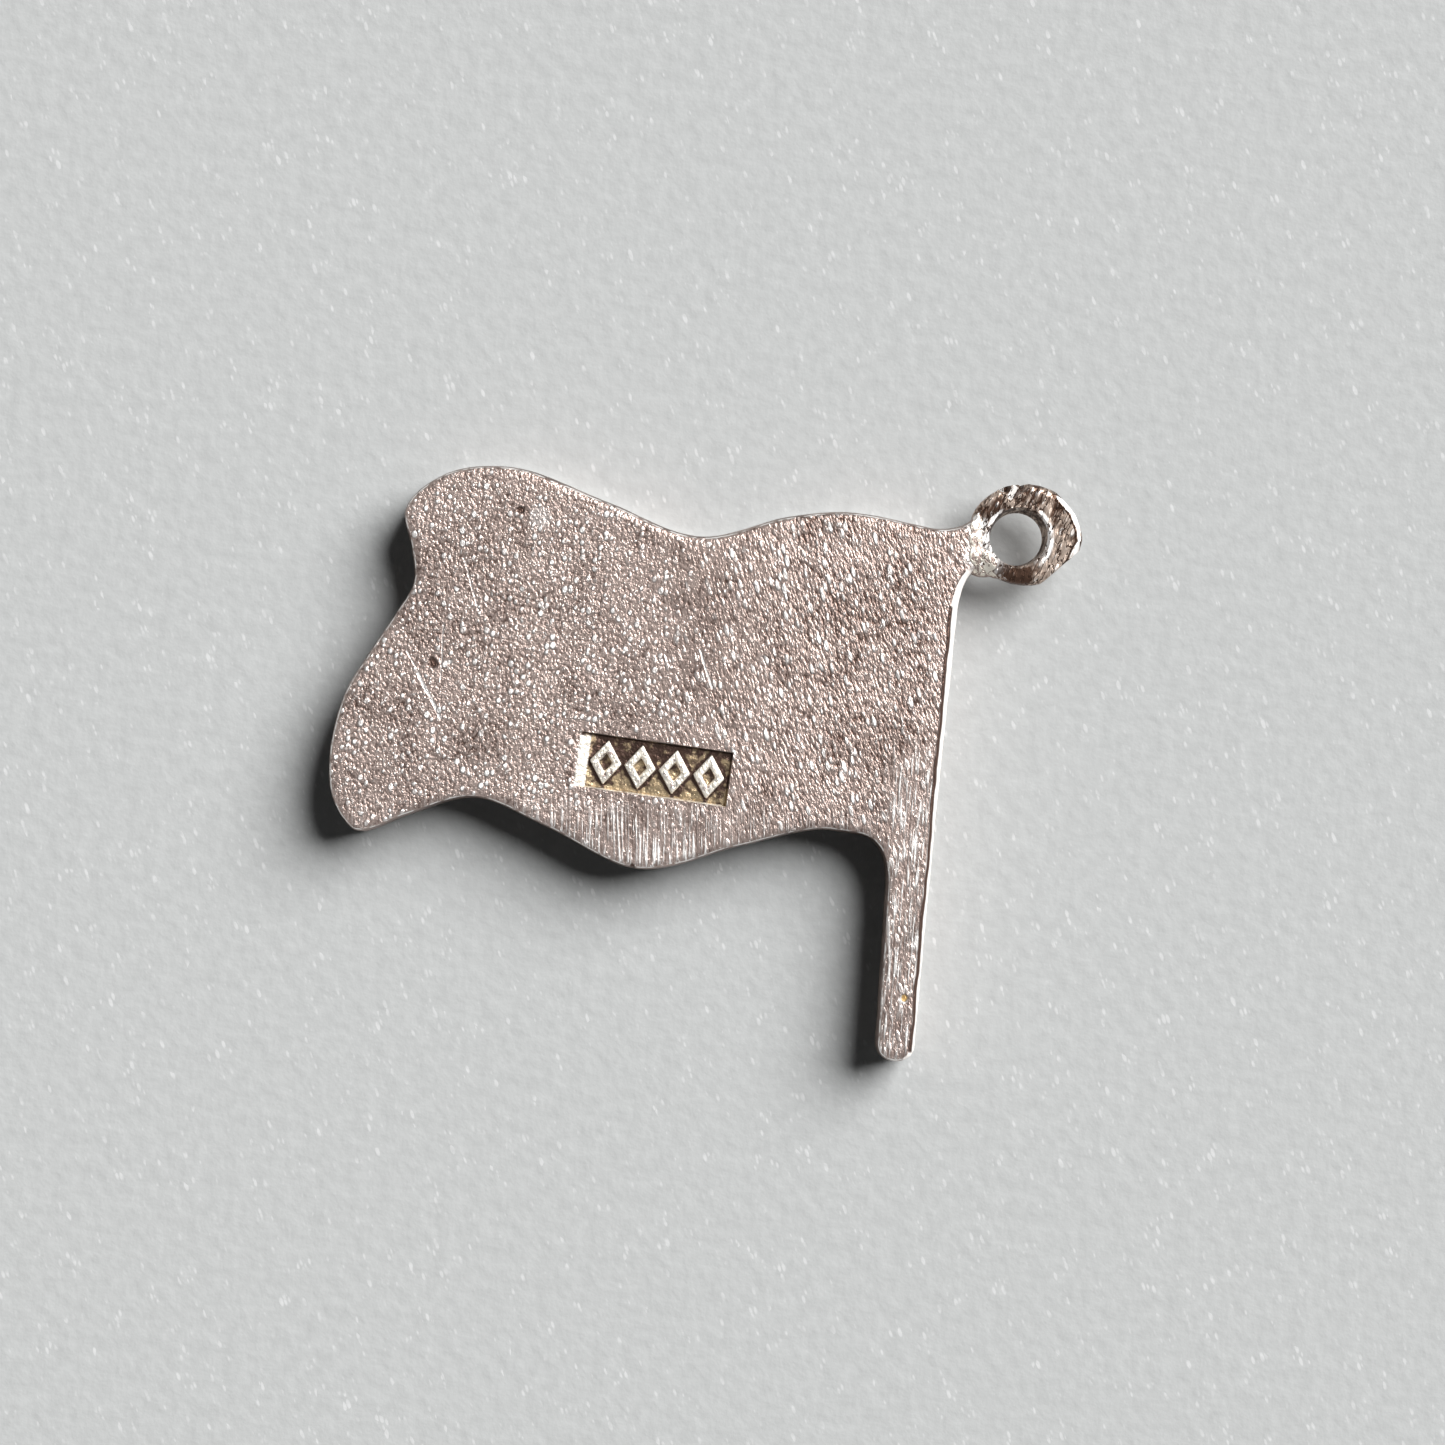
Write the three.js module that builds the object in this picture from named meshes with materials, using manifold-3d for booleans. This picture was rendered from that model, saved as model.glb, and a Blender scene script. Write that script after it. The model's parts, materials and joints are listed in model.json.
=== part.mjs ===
// A small silver flag charm. The flag and its pole are one casting, and a pierced ear is soldered to its
// neck. The front of the flag is sunk into five cells with thin walls between them, and each cell holds a
// field of enamel.
//
// The charm lies on its enamelled front with its plain back up: +Z is the back, +Y runs up the pole to the
// ear, and the flag flies towards -X. The origin is under the middle of the charm.

import * as THREE from "three";
import { mergeVertices } from "three/addons/utils/BufferGeometryUtils.js";
import Module from "manifold-3d";

// Sizes in millimetres. Heights run up the pole from its tip, reaches run out from the pole's axis, and
// depths run in from the front.

// Flag
const PLATE_THICKNESS = 1.3;
const FLAG_LENGTH = 13.25;
const HOIST_TOP = 12.1;
const HOIST_FOOT = 5.05;

// Waves of the long edges: a station as a share of the flag's length, and the rise over the hoist there
const TOP_WAVES = [
  [0, 0],
  [0.147, 0.22],
  [0.25, 0.02],
  [0.4, -0.59],
  [0.558, 0.01],
  [0.725, 0.64],
  [0.84, 0.37],
];
const FOOT_WAVES = [
  [0.853, -0.33],
  [0.745, 0.15],
  [0.623, -0.38],
  [0.46, -1.17],
  [0.29, -0.48],
  [0.16, 0.03],
];

// Fly edge from its upper corner to its lower one: the set-back from the flag's full length, and the height
// as a share of the hoist
const FLY_EDGE = [
  [1.26, 0.93],
  [1.46, 0.81],
  [1.59, 0.7],
  [1.26, 0.6],
  [0.73, 0.468],
  [0.24, 0.328],
  [0, 0.15],
  [0.1, 0],
  [0.45, -0.085],
  [0.8, -0.117],
];

// Pole
const POLE_TIP_WIDTH = 0.93;
const POLE_HEAD_WIDTH = 1.44;
const POLE_SWELL = 1.5;
const POLE_TIP_ROUND = 0.36;
const FOOT_FILLET_REACH = 0.75;
const FOOT_FILLET_DROP = 1.1;

// Ear
const EAR_LENGTH = 2.58;
const EAR_WIDTH = 2.3;
const EAR_REACH = 2.02;
const EAR_THICKNESS = 0.42;
const EAR_BACK_STEP = 0.1;
const EYE_DIAMETER = 1.32;
const EYE_FLARE = 0.05;
const EYE_SHIFT = 0.19;
const EYE_DROP = 0.1;

// Flats that a file has left on the ear's rim: the way that each faces, in degrees, and how deep it is cut
const EAR_FLATS = [
  [45, 0.075],
  [25, 0.067],
  [-45, 0.155],
];

// Neck and the seat for the ear
const NECK_DROP = 1.75;
const NECK_UPPER_ANGLE = 142;
const NECK_LOWER_ANGLE = 232;
const SEAT_REACH = 0.98;
const SOLDER_SEAM = 0.03;

// Edge rounding: how far the flat face is drawn in, and how deep the round runs into the wall
const PLATE_EDGE = { frontIn: 0.1, frontDeep: 0.12, backIn: 0.1, backDeep: 0.5 };
const POLE_EDGE = { frontIn: 0.24, frontDeep: 0.35, backIn: 0.1, backDeep: 0.6 };
const HEAD_EDGE = { frontIn: 0.3, frontDeep: 0.4, backIn: 0.18, backDeep: 0.7 };
const EAR_EDGE = { frontIn: 0.1, frontDeep: 0.12, backIn: 0.16, backDeep: 0.22 };

// Front: the groove beside the pole, the rim, the cell walls and the cross
const GROOVE_WIDTH = 0.3;
const GROOVE_DEPTH = 0.22;
const RIM_WIDTH = 0.5;
const HOIST_RIM_WIDTH = 0.35;
const WALL_WIDTH = 0.26;
const CELL_DEPTH = 0.45;
const ARM_WIDTH = 1.5;
const ARM_REACH = 4.7;

// Enamel fills
const ENAMEL_SINK = 0.05;
const ENAMEL_CLEARANCE = 0.03;

// Back: the sunk panel of the punch
const PUNCH_LENGTH = 3.4;
const PUNCH_HEIGHT = 1.22;
const PUNCH_DEPTH = 0.15;
const PUNCH_DRAFT = 0.1;
const PUNCH_REACH = 5.94;
const PUNCH_RISE = 1.13;
const PUNCH_TILT = -3.5;

// Facets
const OUTLINE_STEP = 0.24;
const CELL_STEP = 0.35;
const ROUND_STEPS = 3;
const EYE_SIDES = 36;
const POLE_KNOTS = 8;
const LINE_POINTS = 200;
const MERGE_DISTANCE = 1e-5;

// Length by which a cutter stands clear of what it cuts
const OVERSHOOT = 1;

// Most of a wall's height that the rounds of its two edges may take up
const ROUND_LIMIT = 0.9;

const wasm = await Module();
wasm.setup();

const SILVER = new THREE.MeshStandardMaterial({ color: 0xb2a49c, roughness: 0.42, metalness: 1 });
const WHITE_ENAMEL = new THREE.MeshStandardMaterial({ color: 0xf1eee4, roughness: 0.12, metalness: 0 });
const BLUE_ENAMEL = new THREE.MeshStandardMaterial({ color: 0x1c3f87, roughness: 0.12, metalness: 0 });

// Half the pole's width, which swells from the tip to the head
function poleHalf(height) {
  const share = Math.max(0, height / HOIST_TOP) ** POLE_SWELL;
  return THREE.MathUtils.lerp(POLE_TIP_WIDTH / 2, POLE_HEAD_WIDTH / 2, share);
}

// Straight line along the pole's side of the flag, as a reach at a height
const hoistLean = (poleHalf(HOIST_TOP) - poleHalf(HOIST_FOOT)) / (HOIST_TOP - HOIST_FOOT);
const hoistLine = (height) => poleHalf(HOIST_FOOT) + hoistLean * (height - HOIST_FOOT);

// Ear's middle, and the levels of its two faces: it is a thin tab, a step below the plate's back
const earCentre = new THREE.Vector2(EAR_REACH, HOIST_TOP);
const earBack = PLATE_THICKNESS - EAR_BACK_STEP;
const earFront = earBack - EAR_THICKNESS;

// Solids

function solid(geometry) {
  geometry.deleteAttribute("normal");
  geometry.deleteAttribute("uv");
  const merged = mergeVertices(geometry, MERGE_DISTANCE);
  const vertProperties = new Float32Array(merged.attributes.position.array);
  const triVerts = new Uint32Array(merged.index.array);
  return new wasm.Manifold(new wasm.Mesh({ numProp: 3, vertProperties, triVerts }));
}

// Plane outline raised from one level to another
function prism(points, low, high) {
  const geometry = new THREE.ExtrudeGeometry(new THREE.Shape(points), {
    depth: high - low,
    bevelEnabled: false,
  });
  return solid(geometry.translate(0, 0, low));
}

// Profile in reach and depth, run up the pole from one height to another
function sideProfile(points, low, high) {
  const geometry = new THREE.ExtrudeGeometry(new THREE.Shape(points), {
    depth: high - low,
    bevelEnabled: false,
  });
  return geometry.rotateX(Math.PI / 2).translate(0, high, 0);
}

// Closed skin through rings of equally many points, lowest ring first, with both ends capped
function loft(rings) {
  const count = rings[0].length;
  const positions = rings.flat().flatMap((point) => [point.x, point.y, point.z]);
  const index = [];
  for (let ring = 0; ring < rings.length - 1; ring += 1) {
    for (let i = 0; i < count; i += 1) {
      const a = ring * count + i;
      const b = ring * count + ((i + 1) % count);
      index.push(a, b, b + count, a, b + count, a + count);
    }
  }
  const top = (rings.length - 1) * count;
  for (const [a, b, c] of THREE.ShapeUtils.triangulateShape(rings[0], [])) {
    index.push(a, c, b);
  }
  for (const [a, b, c] of THREE.ShapeUtils.triangulateShape(rings.at(-1), [])) {
    index.push(top + a, top + b, top + c);
  }
  const geometry = new THREE.BufferGeometry();
  geometry.setAttribute("position", new THREE.Float32BufferAttribute(positions, 3));
  geometry.setIndex(index);
  return solid(geometry);
}

// Curves

const inPlane = (points) => points.map((point) => new THREE.Vector3(point.x, point.y, 0));

function smoothCurve(points) {
  return new THREE.CatmullRomCurve3(inPlane(points), false, "centripetal");
}

// Points along a curve at an even step, without the last one, which the next curve starts with
function walk(curve, step) {
  const count = Math.max(2, Math.ceil(curve.getLength() / step));
  return curve.getSpacedPoints(count).slice(0, -1);
}

// Points along a curve, moved to its left by a distance
function besideCurve(curve, distance) {
  const count = Math.ceil(curve.getLength() / CELL_STEP);
  return Array.from({ length: count + 1 }, (_, i) => {
    const point = curve.getPointAt(i / count);
    const tangent = curve.getTangentAt(i / count);
    return new THREE.Vector2(point.x - tangent.y * distance, point.y + tangent.x * distance);
  });
}

// Knots of the flag's three free edges, run from the hoist along the top, down the fly and back

const topKnots = TOP_WAVES.map(([station, rise]) => {
  return new THREE.Vector2(-station * FLAG_LENGTH, HOIST_TOP + rise);
});
const flyKnots = FLY_EDGE.map(([setBack, share]) => {
  return new THREE.Vector2(setBack - FLAG_LENGTH, HOIST_FOOT + share * (HOIST_TOP - HOIST_FOOT));
});
const footKnots = FOOT_WAVES.map(([station, rise]) => {
  return new THREE.Vector2(-station * FLAG_LENGTH, HOIST_FOOT + rise);
});
footKnots.push(new THREE.Vector2(-poleHalf(HOIST_FOOT) - FOOT_FILLET_REACH, HOIST_FOOT));

// Outline of the flag, the pole and the neck, counter-clockwise from the right of the pole's tip, with the
// rounding that each stretch has

const earOutline = new THREE.EllipseCurve(earCentre.x, earCentre.y, EAR_LENGTH / 2, EAR_WIDTH / 2);

// Edge of the ear's flat face, where the sides of the neck run in
const neckSeat = new THREE.EllipseCurve(
  earCentre.x,
  earCentre.y,
  EAR_LENGTH / 2 - EAR_EDGE.backIn,
  EAR_WIDTH / 2 - EAR_EDGE.backIn,
);

const poleSide = (side, height) => new THREE.Vector2(side * poleHalf(height), height);

function poleEdge(side, from, to) {
  const heights = Array.from({ length: POLE_KNOTS }, (_, i) => from + ((to - from) * i) / (POLE_KNOTS - 1));
  return smoothCurve(heights.map((height) => poleSide(side, height)));
}

// Points of one stretch of an outline, with a rounding that runs from its first to its last
function roundedStretch(curve, first, last) {
  return walk(curve, OUTLINE_STEP).map((point, i, points) => {
    const share = i / points.length;
    const edge = {};
    for (const key of Object.keys(first)) {
      edge[key] = THREE.MathUtils.lerp(first[key], last[key], share);
    }
    return { point, edge };
  });
}

function castingOutline() {
  const neckFoot = HOIST_TOP - NECK_DROP;
  const filletFoot = HOIST_FOOT - FOOT_FILLET_DROP;
  const neckRight = poleSide(1, neckFoot);
  const poleLeft = poleSide(-1, filletFoot);
  const lowerEar = neckSeat.getPoint(NECK_LOWER_ANGLE / 360);
  const upperEar = neckSeat.getPoint(NECK_UPPER_ANGLE / 360);
  const lowerBend = new THREE.Vector2(poleHalf(HOIST_TOP), lowerEar.y);
  const upperBend = new THREE.Vector2(poleHalf(HOIST_TOP), HOIST_TOP);
  const footBend = new THREE.Vector2(-poleHalf(HOIST_FOOT), HOIST_FOOT);
  const flagEdge = smoothCurve([...topKnots, ...flyKnots, ...footKnots]);
  const tipHalf = poleHalf(POLE_TIP_ROUND);
  const tip = new THREE.EllipseCurve(0, POLE_TIP_ROUND, tipHalf, POLE_TIP_ROUND, Math.PI, 2 * Math.PI);
  const stretches = [
    [poleEdge(1, POLE_TIP_ROUND, neckFoot), POLE_EDGE, HEAD_EDGE],
    [new THREE.QuadraticBezierCurve(neckRight, lowerBend, lowerEar), HEAD_EDGE, PLATE_EDGE],
    [new THREE.QuadraticBezierCurve(lowerEar, earCentre, upperEar), PLATE_EDGE, PLATE_EDGE],
    [new THREE.QuadraticBezierCurve(upperEar, upperBend, topKnots[0]), PLATE_EDGE, PLATE_EDGE],
    [flagEdge, PLATE_EDGE, PLATE_EDGE],
    [new THREE.QuadraticBezierCurve(footKnots.at(-1), footBend, poleLeft), PLATE_EDGE, POLE_EDGE],
    [poleEdge(-1, filletFoot, POLE_TIP_ROUND), POLE_EDGE, POLE_EDGE],
    [tip, POLE_EDGE, POLE_EDGE],
  ];
  return stretches.flatMap(([curve, first, last]) => roundedStretch(curve, first, last));
}

// Rings of a plate with rounded edges, where each point of the outline carries its own rounding
function roundedRings(outline, low, high) {
  const count = outline.length;
  const corners = outline.map(({ point, edge }, i) => {
    const before = outline[(i + count - 1) % count].point;
    const after = outline[(i + 1) % count].point;
    const outward = new THREE.Vector2(after.y - before.y, before.x - after.x).normalize();
    const at = (inset, level) => {
      return new THREE.Vector3(point.x - outward.x * inset, point.y - outward.y * inset, level);
    };
    const room = (ROUND_LIMIT * (high - low)) / (edge.frontDeep + edge.backDeep);
    return { edge, at, fit: Math.min(1, room) };
  });
  const turns = Array.from({ length: ROUND_STEPS + 1 }, (_, k) => {
    const angle = (k / ROUND_STEPS) * (Math.PI / 2);
    return { inset: 1 - Math.sin(angle), depth: 1 - Math.cos(angle) };
  });
  const front = turns.map(({ inset, depth }) => {
    return corners.map(({ edge, at, fit }) => at(edge.frontIn * inset, low + edge.frontDeep * fit * depth));
  });
  const back = turns.toReversed().map(({ inset, depth }) => {
    return corners.map(({ edge, at, fit }) => at(edge.backIn * inset, high - edge.backDeep * fit * depth));
  });
  return [...front, ...back];
}

// Ear: a rounded disc with flats on its rim, and with its eye drilled nearer the pole

function earDisc() {
  const outline = roundedStretch(earOutline, EAR_EDGE, EAR_EDGE);
  const disc = loft(roundedRings(outline, earFront, earBack));
  return EAR_FLATS.reduce((ear, [azimuth, depth]) => {
    const angle = THREE.MathUtils.degToRad(azimuth);
    const outward = new THREE.Vector2(Math.cos(angle), Math.sin(angle));
    const rim = Math.hypot((outward.x * EAR_LENGTH) / 2, (outward.y * EAR_WIDTH) / 2);
    return ear.trimByPlane([-outward.x, -outward.y, 0], depth - rim - earCentre.dot(outward));
  }, disc);
}

function eyeCutter() {
  const low = earFront - OVERSHOOT;
  const high = earBack + OVERSHOOT;
  const bore = EYE_DIAMETER / 2;
  const mouth = bore + EYE_FLARE;
  const profile = [
    [0, low],
    [mouth, low],
    [mouth, earFront],
    [bore, earFront + EYE_FLARE],
    [bore, earBack - EYE_FLARE],
    [mouth, earBack],
    [mouth, high],
    [0, high],
  ];
  const points = profile.map(([radius, level]) => new THREE.Vector2(radius, level));
  const geometry = new THREE.LatheGeometry(points, EYE_SIDES).rotateX(Math.PI / 2);
  return solid(geometry.translate(earCentre.x - EYE_SHIFT, earCentre.y - EYE_DROP, 0));
}

// Cuts that thin the neck to the ear's thickness, on the back and on the front: each slopes from the plate's
// face at the pole's side to the ear's face at the seat, and runs on level
function neckCutters() {
  const start = poleHalf(HOIST_TOP);
  const end = EAR_REACH + EAR_LENGTH;
  const low = HOIST_TOP - EAR_WIDTH;
  const high = HOIST_TOP + EAR_WIDTH;
  const cutter = (face, level, clear) => {
    const points = [
      new THREE.Vector2(start, face),
      new THREE.Vector2(SEAT_REACH, level),
      new THREE.Vector2(end, level),
      new THREE.Vector2(end, clear),
      new THREE.Vector2(start, clear),
    ];
    return solid(sideProfile(points, low, high));
  };
  const onBack = cutter(PLATE_THICKNESS, earBack, PLATE_THICKNESS + OVERSHOOT);
  return onBack.add(cutter(0, earFront, -OVERSHOOT));
}

// Everything past the seat in the neck that the ear is soldered to, from a reach outwards
function pastSeat(reach) {
  const end = EAR_REACH + EAR_LENGTH;
  const low = HOIST_TOP - EAR_WIDTH;
  const high = HOIST_TOP + EAR_WIDTH;
  const corners = [
    new THREE.Vector2(reach, low),
    new THREE.Vector2(end, low),
    new THREE.Vector2(end, high),
    new THREE.Vector2(reach, high),
  ];
  return prism(corners, -OVERSHOOT, PLATE_THICKNESS + OVERSHOOT);
}

// Groove on the front that sets the pole off from the flag
function grooveCutter() {
  const half = GROOVE_WIDTH / 2;
  const centre = -hoistLine(0) - half;
  const points = [
    new THREE.Vector2(centre - half, 0),
    new THREE.Vector2(centre, GROOVE_DEPTH),
    new THREE.Vector2(centre + half, 0),
    new THREE.Vector2(centre + half, -OVERSHOOT),
    new THREE.Vector2(centre - half, -OVERSHOOT),
  ];
  const run = sideProfile(points, HOIST_FOOT - OVERSHOOT, HOIST_TOP + OVERSHOOT);
  return solid(run.rotateZ(Math.atan(hoistLean)));
}

// Sunk panel that the punch leaves on the back, with sloping walls
function punchCutter() {
  const tilt = THREE.MathUtils.degToRad(PUNCH_TILT);
  const centre = new THREE.Vector3(-PUNCH_REACH, HOIST_FOOT + PUNCH_RISE, PLATE_THICKNESS);
  const slope = PUNCH_DRAFT / PUNCH_DEPTH;
  const ring = (level) => {
    const x = PUNCH_LENGTH / 2 + slope * level;
    const y = PUNCH_HEIGHT / 2 + slope * level;
    const corners = [new THREE.Vector3(-x, -y, level), new THREE.Vector3(x, -y, level)];
    corners.push(new THREE.Vector3(x, y, level), new THREE.Vector3(-x, y, level));
    return corners.map((corner) => corner.applyAxisAngle(new THREE.Vector3(0, 0, 1), tilt).add(centre));
  };
  return loft([ring(-PUNCH_DEPTH), ring(PUNCH_DEPTH)]);
}

// Cells of the front. Each is a plane region between two levels; the clearance draws every side in, so the
// same regions give the sunk cells and the enamel that fills them.

const farReach = FLAG_LENGTH + OVERSHOOT;
const farHeight = 2 * HOIST_TOP;
const topEdge = smoothCurve(topKnots);
const flyEdge = smoothCurve(flyKnots);
const footEdge = smoothCurve(footKnots);

// Height of a line of points at a reach
function heightAlong(points, x) {
  const i = points.findIndex((point, k) => k > 0 && (point.x - x) * (points[k - 1].x - x) <= 0);
  const [a, b] = i > 0 ? [points[i - 1], points[i]] : [points[0], points.at(-1)];
  return THREE.MathUtils.lerp(a.y, b.y, (x - a.x) / (b.x - a.x));
}

// Middle line of the flag, half-way between its top and its foot, run on level to the pole and past the fly
const topLine = topEdge.getSpacedPoints(LINE_POINTS);
const footLine = footEdge.getSpacedPoints(LINE_POINTS);
const middleStart = footLine.at(-1).x;
const middleEnd = topLine.at(-1).x;
const middleCount = Math.ceil((middleStart - middleEnd) / CELL_STEP);
const middleLine = Array.from({ length: middleCount + 1 }, (_, i) => {
  const x = THREE.MathUtils.lerp(middleStart, middleEnd, i / middleCount);
  return new THREE.Vector2(x, (heightAlong(topLine, x) + heightAlong(footLine, x)) / 2);
});
middleLine.unshift(new THREE.Vector2(0, middleLine[0].y));
middleLine.push(new THREE.Vector2(-farReach, middleLine.at(-1).y));

// Point at a reach on the straight line from one point through another
function runOn(from, through, x) {
  const share = (x - from.x) / (through.x - from.x);
  return new THREE.Vector2(x, THREE.MathUtils.lerp(from.y, through.y, share));
}

// Part of the flag inside its rim
function flagField(clearance, low, high) {
  const rim = RIM_WIDTH + clearance;
  const top = besideCurve(topEdge, rim);
  const foot = besideCurve(footEdge, rim);
  const fly = besideCurve(flyEdge, rim);
  const between = [
    new THREE.Vector2(0, top[0].y),
    ...top,
    runOn(top.at(-2), top.at(-1), -farReach),
    runOn(foot[1], foot[0], -farReach),
    ...foot,
    new THREE.Vector2(0, foot.at(-1).y),
  ];
  const beyondFly = [
    new THREE.Vector2(0, farHeight),
    new THREE.Vector2(fly[0].x, farHeight),
    ...fly,
    new THREE.Vector2(fly.at(-1).x, -OVERSHOOT),
    new THREE.Vector2(0, -OVERSHOOT),
  ];
  const hoist = (height) => -hoistLine(height) - GROOVE_WIDTH - HOIST_RIM_WIDTH - clearance;
  const beyondHoist = [
    new THREE.Vector2(hoist(0), 0),
    new THREE.Vector2(hoist(farHeight), farHeight),
    new THREE.Vector2(-farReach, farHeight),
    new THREE.Vector2(-farReach, 0),
  ];
  const regions = [between, beyondFly, beyondHoist].map((points) => prism(points, low, high));
  return regions[0].intersect(regions[1]).intersect(regions[2]);
}

// Region beside both arms of the cross and their walls, on one side of each
function quarterRegion(flySide, upperSide, clearance) {
  const gap = ARM_WIDTH / 2 + WALL_WIDTH + clearance;
  const near = -ARM_REACH + (flySide ? -gap : gap);
  const kept = middleLine.filter((point) => (flySide ? point.x < near : point.x > near));
  const shift = upperSide ? gap : -gap;
  const start = new THREE.Vector2(near, heightAlong(middleLine, near));
  const line = flySide ? [start, ...kept] : [...kept, start];
  const edge = line.map((point) => new THREE.Vector2(point.x, point.y + shift));
  const far = upperSide ? farHeight : -OVERSHOOT;
  return [...edge, new THREE.Vector2(edge.at(-1).x, far), new THREE.Vector2(edge[0].x, far)];
}

// The two arms of the cross: one along the flag's waves, one upright beside the pole
function crossRegions(clearance) {
  const half = ARM_WIDTH / 2 - clearance;
  const along = [
    ...middleLine.map((point) => new THREE.Vector2(point.x, point.y + half)),
    ...middleLine.toReversed().map((point) => new THREE.Vector2(point.x, point.y - half)),
  ];
  const upright = [
    new THREE.Vector2(-ARM_REACH - half, -OVERSHOOT),
    new THREE.Vector2(-ARM_REACH + half, -OVERSHOOT),
    new THREE.Vector2(-ARM_REACH + half, farHeight),
    new THREE.Vector2(-ARM_REACH - half, farHeight),
  ];
  return [along, upright];
}

// The five fields by the names of their enamel
function fieldSolids(clearance, low, high) {
  const field = flagField(clearance, low, high);
  const quarter = (flySide, upperSide) => {
    return field.intersect(prism(quarterRegion(flySide, upperSide, clearance), low, high));
  };
  const [along, upright] = crossRegions(clearance).map((points) => prism(points, low, high));
  return {
    enamel_hoist_upper: quarter(false, true),
    enamel_hoist_lower: quarter(false, false),
    enamel_fly_upper: quarter(true, true),
    enamel_fly_lower: quarter(true, false),
    enamel_cross: field.intersect(along.add(upright)),
  };
}

// Assembly

// Flag and pole up to the seat, with the cells, the groove and the punched panel, and the ear past the seat
function silverSolids() {
  const plate = loft(roundedRings(castingOutline(), 0, PLATE_THICKNESS));
  const whole = plate.subtract(neckCutters()).add(earDisc()).subtract(eyeCutter());
  const cells = Object.values(fieldSolids(0, -OVERSHOOT, CELL_DEPTH));
  const cutters = [pastSeat(SEAT_REACH), grooveCutter(), punchCutter(), ...cells];
  return {
    charm_body: cutters.reduce((body, cutter) => body.subtract(cutter), whole),
    pierced_ear: whole.intersect(pastSeat(SEAT_REACH + SOLDER_SEAM)),
  };
}

function named(name, body, material) {
  const { vertProperties, triVerts } = body.getMesh();
  const geometry = new THREE.BufferGeometry();
  geometry.setAttribute("position", new THREE.BufferAttribute(vertProperties, 3));
  geometry.setIndex(new THREE.BufferAttribute(triVerts, 1));
  geometry.computeVertexNormals();
  const mesh = new THREE.Mesh(geometry, material);
  mesh.name = name;
  return mesh;
}

const charm = new THREE.Group();
for (const [name, body] of Object.entries(silverSolids())) {
  charm.add(named(name, body, SILVER));
}

const enamel = fieldSolids(ENAMEL_CLEARANCE, ENAMEL_SINK, CELL_DEPTH - ENAMEL_CLEARANCE);
for (const [name, body] of Object.entries(enamel)) {
  charm.add(named(name, body, name === "enamel_cross" ? BLUE_ENAMEL : WHITE_ENAMEL));
}

const middle = new THREE.Box3().setFromObject(charm).getCenter(new THREE.Vector3());
charm.position.set(-middle.x, -middle.y, 0);

export default charm;
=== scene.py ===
# %% [markdown]
# # A silver flag charm, lying on its face
#
# The charm is a waving flag on a pole, small enough to hang from a bracelet. It is cast in silver,
# filed flat on the back and struck there with a small punch. A pierced ear is soldered to the head of
# the pole, and the front has enamel in sunk cells. The frame holds every piece at its real size, so
# this lesson never moves or resizes one: it makes finer pieces in the same places and gives them their
# finish.

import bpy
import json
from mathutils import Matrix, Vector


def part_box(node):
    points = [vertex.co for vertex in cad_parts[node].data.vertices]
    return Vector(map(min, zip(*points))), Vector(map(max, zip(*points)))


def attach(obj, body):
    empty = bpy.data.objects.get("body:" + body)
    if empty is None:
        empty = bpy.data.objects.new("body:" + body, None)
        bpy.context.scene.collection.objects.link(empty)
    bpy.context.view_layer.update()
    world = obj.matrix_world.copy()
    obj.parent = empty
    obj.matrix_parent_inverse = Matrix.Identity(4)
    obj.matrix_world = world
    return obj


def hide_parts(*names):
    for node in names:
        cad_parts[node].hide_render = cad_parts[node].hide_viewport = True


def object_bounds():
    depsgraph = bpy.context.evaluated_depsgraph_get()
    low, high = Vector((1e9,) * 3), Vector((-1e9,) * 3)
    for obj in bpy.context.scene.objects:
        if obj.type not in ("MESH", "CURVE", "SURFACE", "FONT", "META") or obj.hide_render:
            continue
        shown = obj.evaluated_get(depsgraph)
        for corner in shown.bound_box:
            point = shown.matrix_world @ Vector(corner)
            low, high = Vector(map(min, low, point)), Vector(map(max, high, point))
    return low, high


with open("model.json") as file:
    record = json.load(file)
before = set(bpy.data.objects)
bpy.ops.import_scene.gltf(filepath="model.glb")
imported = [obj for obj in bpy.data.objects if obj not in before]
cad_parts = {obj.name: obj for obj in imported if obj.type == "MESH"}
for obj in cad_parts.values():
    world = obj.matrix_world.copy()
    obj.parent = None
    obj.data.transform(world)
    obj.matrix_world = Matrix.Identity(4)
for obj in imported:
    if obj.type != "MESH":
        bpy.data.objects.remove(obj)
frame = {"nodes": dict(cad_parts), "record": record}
print(len(frame["nodes"]), "solids in the frame")

# %% Keep the size of the frame
import json
import math

import bpy
from mathutils import Vector

MM = 0.001

cad_low, cad_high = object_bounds()
print("frame", [round(side / MM, 3) for side in cad_high - cad_low], "mm")

# %% [markdown]
# ## A bench a thousand times larger
#
# Blender's tools are made for rooms and not for jewels: the voxel remesh, for one, takes no step under
# a tenth of a millimetre. So each piece is shaped on a bench where one Blender metre stands for one
# millimetre, and it is made small again when it is done. Everything below is in millimetres unless it
# says metres.

# %% Pick what an operator acts on
BENCH = 1 / MM
BACK = cad_high.z * BENCH


def pick_none():
    """Leaves edit mode and deselects everything, because an operator acts on all that is selected."""
    if bpy.context.mode != "OBJECT":
        bpy.ops.object.mode_set(mode="OBJECT")
    bpy.ops.object.select_all(action="DESELECT")


def pick_only(piece):
    """Selects one piece and nothing else."""
    pick_none()
    piece.select_set(True)
    bpy.context.view_layer.objects.active = piece


def edit_all(piece):
    """Opens a piece in edit mode with all of it selected."""
    pick_only(piece)
    bpy.ops.object.mode_set(mode="EDIT")
    bpy.ops.mesh.select_all(action="SELECT")


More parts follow.
